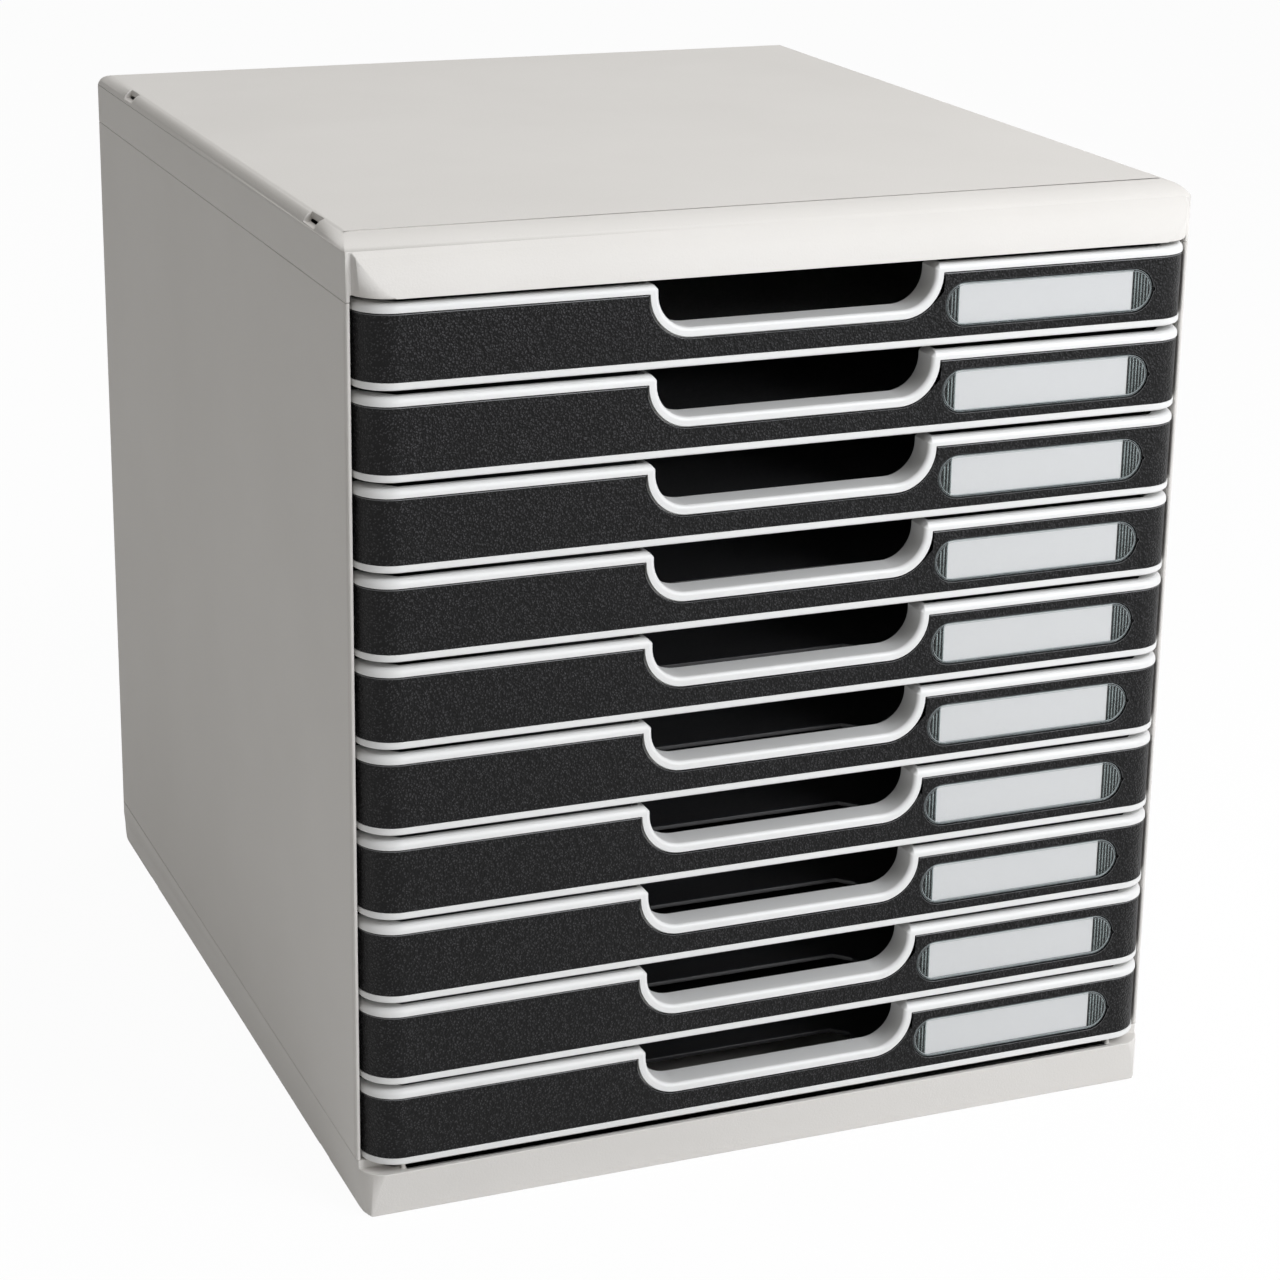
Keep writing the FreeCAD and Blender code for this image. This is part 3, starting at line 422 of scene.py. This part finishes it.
def label_window(drawer):
    """Clear pane lying in its pocket over the card, with a bevelled rim and upright ribs in both ends."""
    low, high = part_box(drawer + "_label_window")
    card_low, card_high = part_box(drawer + "_label_card")
    panel_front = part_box(drawer + "_front_panel")[0].y
    centre_x, centre_z = (low.x + high.x) / 2, (low.z + high.z) / 2
    half_length, radius = (high.x - low.x) / 2, (high.z - low.z) / 2
    work = bmesh.new()
    front_y = panel_front + 0.25 * MM
    face_y = front_y + 0.22 * MM
    profile = ((0.0, card_low.y - 0.02 * MM), (0.0, front_y + 0.2 * MM), (0.2 * MM, front_y),
               (0.5 * MM, front_y), (0.75 * MM, face_y))
    rings = []
    for inset, y in profile:
        outline = stadium(centre_x, centre_z, half_length - inset, radius - inset)
        rings.append([work.verts.new((x, y, z)) for x, z in outline])
    for inner, outer in zip(rings, rings[1:]):
        for index in range(len(inner)):
            after = (index + 1) % len(inner)
            face = work.faces.new((inner[index], inner[after], outer[after], outer[index]))
            # The outer wall and bevel take the milky rim material as a painted highlight line, the inner slope as a
            # painted band of shade over the card
            face.material_index = 0 if outer is rings[3] else 2
    work.faces.new(rings[-1])
    work.faces.new(list(reversed(rings[0])))
    for face in work.faces:
        face.smooth = len(face.verts) == 4
    rib_radius = radius - 0.75 * MM
    reach = half_length - radius
    rib_places = []
    pitch = 1.15 * MM
    position = card_low.x - 0.6 * MM
    while position > centre_x - half_length + 1.4 * MM:
        rib_places.append(position)
        position -= pitch
    position = card_high.x + 0.6 * MM
    while position < centre_x + half_length - 1.4 * MM:
        rib_places.append(position)
        position += pitch
    for x in rib_places:
        beyond = max(abs(x - centre_x) - reach, 0.0)
        rise = math.sqrt(max(rib_radius ** 2 - beyond ** 2, 0.0)) - 0.1 * MM
        sections = []
        for z in (centre_z - rise, centre_z + rise):
            sections.append([work.verts.new((x + 0.24 * MM * math.cos(a), face_y - 0.22 * MM * math.sin(a), z))
                             for a in [math.pi * step / 6 for step in range(7)]])
        # The rib faces take the rib material, whose milky body paints them as light lines
        for step in range(6):
            face = work.faces.new((sections[0][step], sections[0][step + 1], sections[1][step + 1],
                                   sections[1][step]))
            face.smooth = True
            face.material_index = 1
        for section in sections:
            work.faces.new(section).material_index = 1
        under = work.faces.new((sections[0][0], sections[1][0], sections[1][6], sections[0][6]))
        under.material_index = 1
    bmesh.ops.recalc_face_normals(work, faces=work.faces)
    mesh = bpy.data.meshes.new(drawer + "_pane")
    work.to_mesh(mesh)
    work.free()
    mesh.materials.append(PANE)
    mesh.materials.append(RIBS_HIGHLIGHT)
    mesh.materials.append(PANE_RIM_SHADE_AND_HIGHLIGHT)
    pane = bpy.data.objects.new(drawer + "_pane", mesh)
    return finish_piece(pane, drawer, [drawer + "_label_window"])


def paint(node, material):
    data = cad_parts[node].data
    data.materials.clear()
    data.materials.append(material)


dress("lid", "casing", CASING, 0.4 * MM, 3, least_turn=75)
dress("base", "casing", CASING, 0.4 * MM, 3, share=base_share, cutter=lip_groove(),
      least_turn=60)
dress("side_panel_left", "casing", CASING, 0.35 * MM)
dress("side_panel_right", "casing", CASING, 0.35 * MM)
dress("back_panel", "casing", CASING, 0.3 * MM)
for drawer_name in DRAWERS:
    dress(drawer_name + "_tray", drawer_name, TRAY, 0.4 * MM)
    dress(drawer_name + "_front_frame", drawer_name, FRONT, 2.1 * MM, 5,
          share=frame_share(drawer_name + "_front_frame"))
    window_low, window_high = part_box(drawer_name + "_label_window")
    draw_in, panel_share = panel_edges(drawer_name + "_front_panel")
    # The panel's rounded edges get a lighter copy of its plastic: a painted highlight line
    dress(drawer_name + "_front_panel", drawer_name, SKIN, 0.28 * MM, share=panel_share,
          cutter=window_recess(drawer_name), reshape=draw_in, edge_highlight_material=SKIN_EDGE_HIGHLIGHT,
          split=(window_low.z + window_high.z) / 2)
    label_window(drawer_name)
    paint(drawer_name + "_label_card", CARD)


# Stage, lights and camera

# The key and the front fill are a little cooler than the light all round
COOL = (0.945, 0.967, 1.0)
WARM = (1.0, 0.985, 0.95)

def white_for_camera(nodes, links):
    """1 for rays that show the background straight, in a reflection or through clear plastic."""
    path = nodes.new("ShaderNodeLightPath")
    total = path.outputs["Is Camera Ray"]
    for name in ("Is Glossy Ray", "Is Transmission Ray"):
        both = nodes.new("ShaderNodeMath")
        both.operation = "MAXIMUM"
        links.new(total, both.inputs[0])
        links.new(path.outputs[name], both.inputs[1])
        total = both.outputs["Value"]
    return total


def make_floor():
    work = bmesh.new()
    bmesh.ops.create_grid(work, x_segments=24, y_segments=24, size=12.0)
    mesh = bpy.data.meshes.new("floor")
    work.to_mesh(mesh)
    work.free()
    floor = bpy.data.objects.new("floor", mesh)
    bpy.context.scene.collection.objects.link(floor)
    material, nodes, links, shader = new_material("floor_white")
    shader.inputs["Base Color"].default_value = (0.86, 0.86, 0.86, 1)
    shader.inputs["Roughness"].default_value = 0.9
    glow = nodes.new("ShaderNodeEmission")
    glow.inputs["Strength"].default_value = 1.0
    share = nodes.new("ShaderNodeMath")
    share.operation = "MULTIPLY"
    share.inputs[1].default_value = 0.96
    links.new(white_for_camera(nodes, links), share.inputs[0])
    mix = nodes.new("ShaderNodeMixShader")
    links.new(share.outputs["Value"], mix.inputs["Fac"])
    links.new(shader.outputs["BSDF"], mix.inputs[1])
    links.new(glow.outputs["Emission"], mix.inputs[2])
    links.new(mix.outputs["Shader"], nodes["Material Output"].inputs["Surface"])
    mesh.materials.append(material)


def make_world():
    world = bpy.data.worlds.new("studio")
    bpy.context.scene.world = world
    world.use_nodes = True
    nodes, links = world.node_tree.nodes, world.node_tree.links
    soft = nodes["Background"]
    soft.inputs["Color"].default_value = (*WARM, 1)
    soft.inputs["Strength"].default_value = 0.252
    white = nodes.new("ShaderNodeBackground")
    white.inputs["Color"].default_value = (1.0, 1.0, 1.0, 1)
    white.inputs["Strength"].default_value = 1.0
    mix = nodes.new("ShaderNodeMixShader")
    links.new(white_for_camera(nodes, links), mix.inputs["Fac"])
    links.new(soft.outputs["Background"], mix.inputs[1])
    links.new(white.outputs["Background"], mix.inputs[2])
    links.new(mix.outputs["Shader"], nodes["World Output"].inputs["Surface"])


def add_lamp(name, place, target, size, power, colour=(1.0, 1.0, 1.0)):
    lamp = bpy.data.lights.new(name, "AREA")
    lamp.shape = "SQUARE"
    lamp.size = size
    lamp.energy = power
    lamp.color = colour
    obj = bpy.data.objects.new(name, lamp)
    bpy.context.scene.collection.objects.link(obj)
    obj.location = place
    obj.rotation_euler = (Vector(target) - Vector(place)).to_track_quat("-Z", "Y").to_euler()


def make_camera():
    """Standing left of the front and a little above the top, rolled very slightly."""
    azimuth, elevation, roll = math.radians(-22.299), math.radians(17.253), math.radians(0.916)
    distance = 1177.576 * MM
    back = Vector((math.sin(azimuth) * math.cos(elevation), -math.cos(azimuth) * math.cos(elevation),
                   math.sin(elevation)))
    right = Vector((math.cos(azimuth), math.sin(azimuth), 0))
    up = back.cross(right)
    turned_right = math.cos(roll) * right + math.sin(roll) * up
    turned_up = math.cos(roll) * up - math.sin(roll) * right
    place = Vector((19.092 * MM, 0, 164.776 * MM)) + back * distance
    camera = bpy.data.cameras.new("camera")
    camera.sensor_width = 36.0
    camera.sensor_fit = "HORIZONTAL"
    camera.lens = 89.13
    camera.shift_x = -0.005
    camera.shift_y = -0.08
    camera.clip_start = 0.01
    camera.clip_end = 100.0
    obj = bpy.data.objects.new("camera", camera)
    bpy.context.scene.collection.objects.link(obj)
    axes = Matrix((turned_right, turned_up, back)).transposed().to_4x4()
    obj.matrix_world = Matrix.Translation(place) @ axes
    bpy.context.scene.camera = obj


make_floor()
make_world()
add_lamp("key", (0.75, -1.2, 1.2), (0, -0.05, 0.15), 0.9, 21.8, COOL)
add_lamp("overhead", (0.4, 0.1, 2.0), (0, 0, 0.2), 1.6, 13.5)
add_lamp("front_fill", (0.95, -1.65, 0.42), (0.05, -0.17, 0.16), 0.8, 6.2, COOL)
make_camera()
bpy.context.scene.view_settings.view_transform = "Standard"
